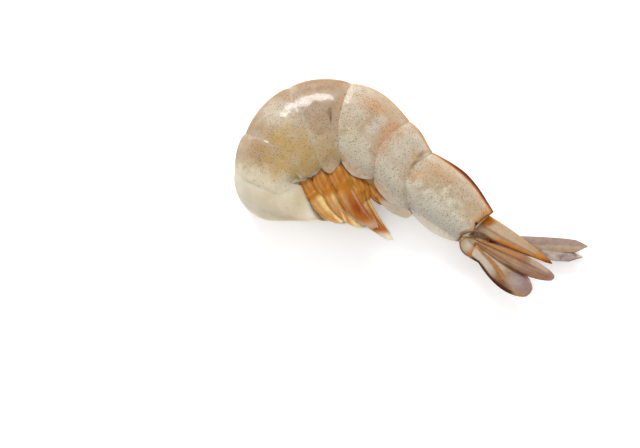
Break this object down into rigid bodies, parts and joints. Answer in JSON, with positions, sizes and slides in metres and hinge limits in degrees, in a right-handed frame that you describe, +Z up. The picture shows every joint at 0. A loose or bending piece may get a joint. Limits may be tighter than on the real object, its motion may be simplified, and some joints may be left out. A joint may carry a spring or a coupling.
{
  "type": "raw whiteleg shrimp",
  "caption": "Raw headless whiteleg shrimp, shell on, curled on its right side with shell rings, swimming legs and tail fan.",
  "frame": {"origin": "on the table under the middle of the shrimp as it lies on its right flank", "axes": "+X along the resting length from the cut neck toward the tail fan, +Y toward the arched back, +Z up out of the left flank"},
  "size_m": [0.0994, 0.0614, 0.0192],
  "materials": {
    "flesh": "wet raw flesh, translucent grey cream",
    "shell": "wet thin shell, translucent grey tan with fine brown dots",
    "tail_shell": "wet amber brown shell with orange ridges",
    "tail_blade": "wet thin blade, grey lilac with brown ribs",
    "leg": "wet amber legs with pale yellow blades"
  },
  "bodies": {
    "root": {"flesh": "flesh", "shell_1": "shell", "shell_2": "shell", "shell_3": "shell", "shell_4": "shell", "shell_5": "shell", "shell_6": "shell", "telson": "tail_shell", "uropod_protopod_left": "tail_shell", "uropod_protopod_right": "tail_shell", "uropod_exopod_left": "tail_blade", "uropod_exopod_right": "tail_blade", "uropod_endopod_left": "tail_blade", "uropod_endopod_right": "tail_blade", "pleopod_1_left": "leg", "pleopod_1_right": "leg", "pleopod_2_left": "leg", "pleopod_2_right": "leg", "pleopod_3_left": "leg", "pleopod_3_right": "leg", "pleopod_4_left": "leg", "pleopod_4_right": "leg", "pleopod_5_left": "leg", "pleopod_5_right": "leg"}
  },
  "joints": []
}
